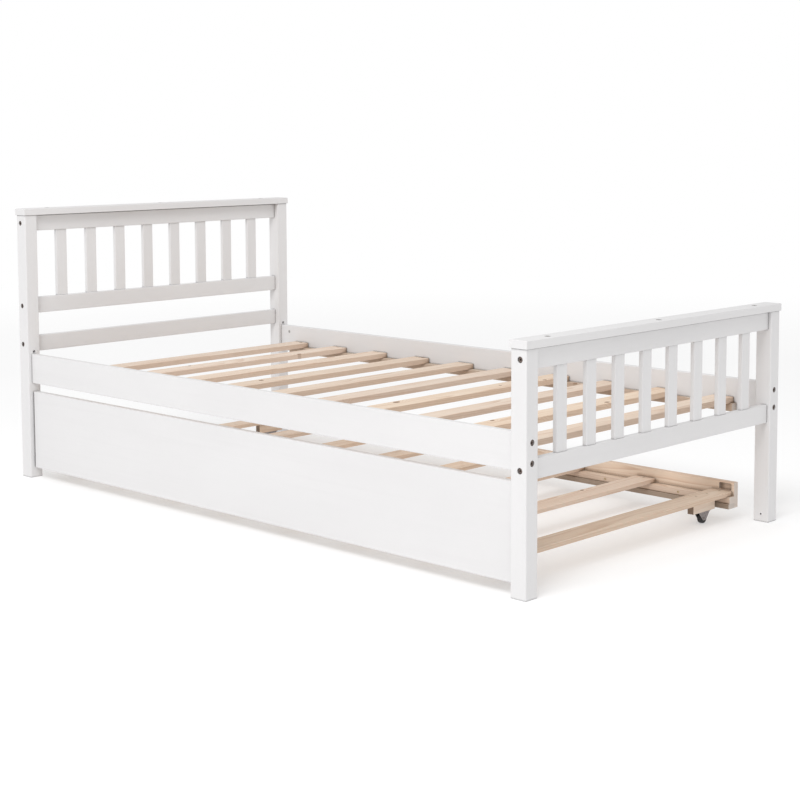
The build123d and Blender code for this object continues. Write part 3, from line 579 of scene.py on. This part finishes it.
def scuffed_nylon(name, middle, radius):
    """Black nylon, scuffed towards the tread."""
    finish, tree, shader = new_finish(name)
    place = vector_calc(tree, "SUBTRACT", add(tree, "TexCoord").outputs["Object"], tuple(middle))
    flat = vector_calc(tree, "MULTIPLY", place, (0.0, 1.0, 1.0))
    away = add(tree, "VectorMath", {0: flat}, operation="LENGTH")
    tread = shade(tree, away.outputs["Value"], radius * 0.90, radius)
    dust = noise(tree, place, 700.0, 4.0, 0.65)
    exposed = calc(tree, "MULTIPLY_ADD", tread, 0.5, 0.15)
    scuff = calc(tree, "MULTIPLY", shade(tree, dust, 0.42, 0.70), exposed)
    body = mix(tree, scuff, NYLON_BLACK, NYLON_SCUFFED)
    body = mix(tree, calc(tree, "MULTIPLY", edge_mask(tree, 0.4 * MM), 0.25), body, NYLON_EDGE)
    plug(tree, shader.inputs["Base Color"], body)
    plug(tree, shader.inputs["Roughness"], shade(tree, scuff, 0.0, 0.5, 0.38, 0.72))
    bump = add(tree, "Bump", {"Strength": 0.3, "Distance": 0.06 * MM, "Height": dust})
    plug(tree, shader.inputs["Normal"], bump.outputs[0])
    return finish


# %% Make and mount the four wheels
def make_wheel(node):
    """A moulded wheel in the place of the plain one, turning with it."""
    middle = middle_of(node)
    low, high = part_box(node)
    radius = (high.z - low.z) / 2
    mesh = bmesh.new()
    spin(mesh, wheel_outline, TURNS)
    for side in (-1, 1):
        for rib in range(RIBS):
            turn = Matrix.Rotation(2 * math.pi * rib / RIBS, 4, "X")
            seat = Matrix.Translation((side * RIB_SEAT[0] * MM, 0.0, RIB_SEAT[1] * MM))
            block(mesh, [size * MM for size in RIB_SIZE], turn @ seat)
    mesh.transform(Matrix.Translation(middle))
    piece = finished_object(mesh, node + "_moulded", scuffed_nylon("nylon_" + node, middle, radius))
    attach(piece, node.replace("caster_wheel", "wheel"))
    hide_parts(node)
    return radius


wheels = [n for n in sorted(boards) if n.startswith("caster_wheel")]
radii = [make_wheel(node) for node in wheels]
print("wheels made:", len(wheels), "radius mm:", round(radii[0] / MM, 2))

# %% [markdown]
# ## Floor and light
# The bed stands on a plain white studio floor that runs on without an edge. A
# white object on white needs light with a clear direction, or its corners fade
# away. The room glows evenly at a middling level, which gives every face its base.
# One large soft panel, high up in front of the near side, then does the drawing: it
# lights the long faces and the flat tops and only grazes the end faces, so the caps
# throw a soft shade on the rails under them. A pure white backdrop far behind
# everything is seen but gives no light of its own. The floor takes shadows near the
# bed and turns into plain glow further off, as white as the backdrop, so no line
# shows where the two meet.

# %% Lay the floor
FLOOR_REACH = 60.0
FLOOR_SIDES = 96
FLOOR_FADE_START = 2.2
FLOOR_FADE_END = 7.0
FLOOR_TONES = ((0.62, 0.62, 0.62), (0.60, 0.60, 0.605))
FLOOR_GLOW = 0.38           # near the bed; far away it is 1
FLOOR_SHEEN = 0.1
BLACK = (0.0, 0.0, 0.0)


def lay_floor(reach, sides):
    """A wide round floor with its top at the feet of the posts."""
    mesh = bmesh.new()
    bmesh.ops.create_circle(mesh, cap_ends=True, segments=sides, radius=reach)
    finish, tree, shader = new_finish("studio_floor")
    place = add(tree, "TexCoord").outputs["Object"]
    cloud = noise(tree, place, 1.2, 3.0)
    colour = mix(tree, shade(tree, cloud, 0.3, 0.7, 0.0, 0.5), *FLOOR_TONES)
    away = add(tree, "VectorMath", {0: place}, operation="LENGTH").outputs["Value"]
    far = shade(tree, away, FLOOR_FADE_START, FLOOR_FADE_END)
    sheen = calc(tree, "MULTIPLY_ADD", far, -FLOOR_SHEEN, FLOOR_SHEEN)
    glow = calc(tree, "MULTIPLY_ADD", far, 1.0 - FLOOR_GLOW, FLOOR_GLOW)
    plug(tree, shader.inputs["Base Color"], mix(tree, far, colour, BLACK))
    shader.inputs["Roughness"].default_value = 0.75
    plug(tree, shader.inputs["Specular IOR Level"], sheen)
    shader.inputs["Emission Color"].default_value = (1.0, 1.0, 1.0, 1.0)
    plug(tree, shader.inputs["Emission Strength"], glow)
    finished_object(mesh, "studio_floor", finish)


lay_floor(FLOOR_REACH, FLOOR_SIDES)
print("floor laid, metres across:", 2 * FLOOR_REACH)


# %% Put up the backdrop
BACKDROP_REACH = 90.0


def put_up_backdrop(reach):
    """A white dome round everything, which is seen and lights nothing."""
    mesh = bmesh.new()
    bmesh.ops.create_icosphere(mesh, subdivisions=4, radius=reach)
    finish = bpy.data.materials.new("white_backdrop")
    finish.use_nodes = True
    tree = finish.node_tree
    tree.nodes.clear()
    cloth = add(tree, "Emission", {"Color": (1.0, 1.0, 1.0, 1.0), "Strength": 1.0})
    output = add(tree, "OutputMaterial")
    tree.links.new(cloth.outputs[0], output.inputs["Surface"])
    dome = finished_object(mesh, "white_backdrop", finish)
    dome.visible_diffuse = False
    dome.visible_glossy = False
    dome.visible_transmission = False
    dome.visible_shadow = False


put_up_backdrop(BACKDROP_REACH)
print("backdrop stands at metres:", BACKDROP_REACH)


# %% Hang the lights
ROOM_GLOW = 0.75
KEY_PLACE = (1.65, -3.95, 5.1)
KEY_TARGET = (0.0, 0.0, 0.3)
KEY_SIZE = 3.0
KEY_POWER = 205.0


def soft_panel(name, place, target, size, power):
    """A square soft light aimed at a point."""
    lamp = bpy.data.lights.new(name, "AREA")
    lamp.shape = "SQUARE"
    lamp.size = size
    lamp.energy = power
    holder = bpy.data.objects.new(name, lamp)
    bpy.context.scene.collection.objects.link(holder)
    aim = Vector(target) - Vector(place)
    facing = aim.to_track_quat("-Z", "Y").to_matrix().to_4x4()
    holder.matrix_world = Matrix.Translation(place) @ facing


room = bpy.data.worlds.new("white_room")
room.use_nodes = True
glow = room.node_tree.nodes["Background"]
glow.inputs["Color"].default_value = (1.0, 1.0, 1.0, 1.0)
glow.inputs["Strength"].default_value = ROOM_GLOW
bpy.context.scene.world = room
soft_panel("key_panel", KEY_PLACE, KEY_TARGET, KEY_SIZE, KEY_POWER)

# %% [markdown]
# ## Camera
# The bed is shown from beyond the corner of its foot and its near side, from about
# waist height, with a long lens that keeps the sides nearly parallel. The lens is
# shifted down so that the camera can look almost level and the posts lean only
# slightly. The camera's three directions are worked out from its turn, tilt and
# roll, and written straight into its matrix.

# %% Set up the camera
TURN = math.radians(43.78)
TILT = math.radians(5.226)
ROLL = math.radians(-0.20)
STAND = Vector((3.3383, -3.3763, 1.0695))
SENSOR = 36.0
FOCUS = 74.24
LENS_SHIFT = -0.15
FARTHEST_SEEN = 200.0

ahead = Vector((-math.sin(TURN) * math.cos(TILT), math.cos(TURN) * math.cos(TILT), -math.sin(TILT)))
level = Vector((math.cos(TURN), math.sin(TURN), 0.0))
upright = level.cross(ahead)
right = math.cos(ROLL) * level + math.sin(ROLL) * upright
upward = -math.sin(ROLL) * level + math.cos(ROLL) * upright
lens = bpy.data.cameras.new("camera")
lens.sensor_width = SENSOR
lens.lens = FOCUS
lens.shift_y = LENS_SHIFT
lens.clip_end = FARTHEST_SEEN
camera = bpy.data.objects.new("camera", lens)
bpy.context.scene.collection.objects.link(camera)
turned = Matrix((right, upward, -ahead)).transposed().to_4x4()
camera.matrix_world = Matrix.Translation(STAND) @ turned
bpy.context.scene.camera = camera
bpy.context.scene.view_settings.view_transform = "Standard"
print("camera stands at", [round(c, 3) for c in STAND])
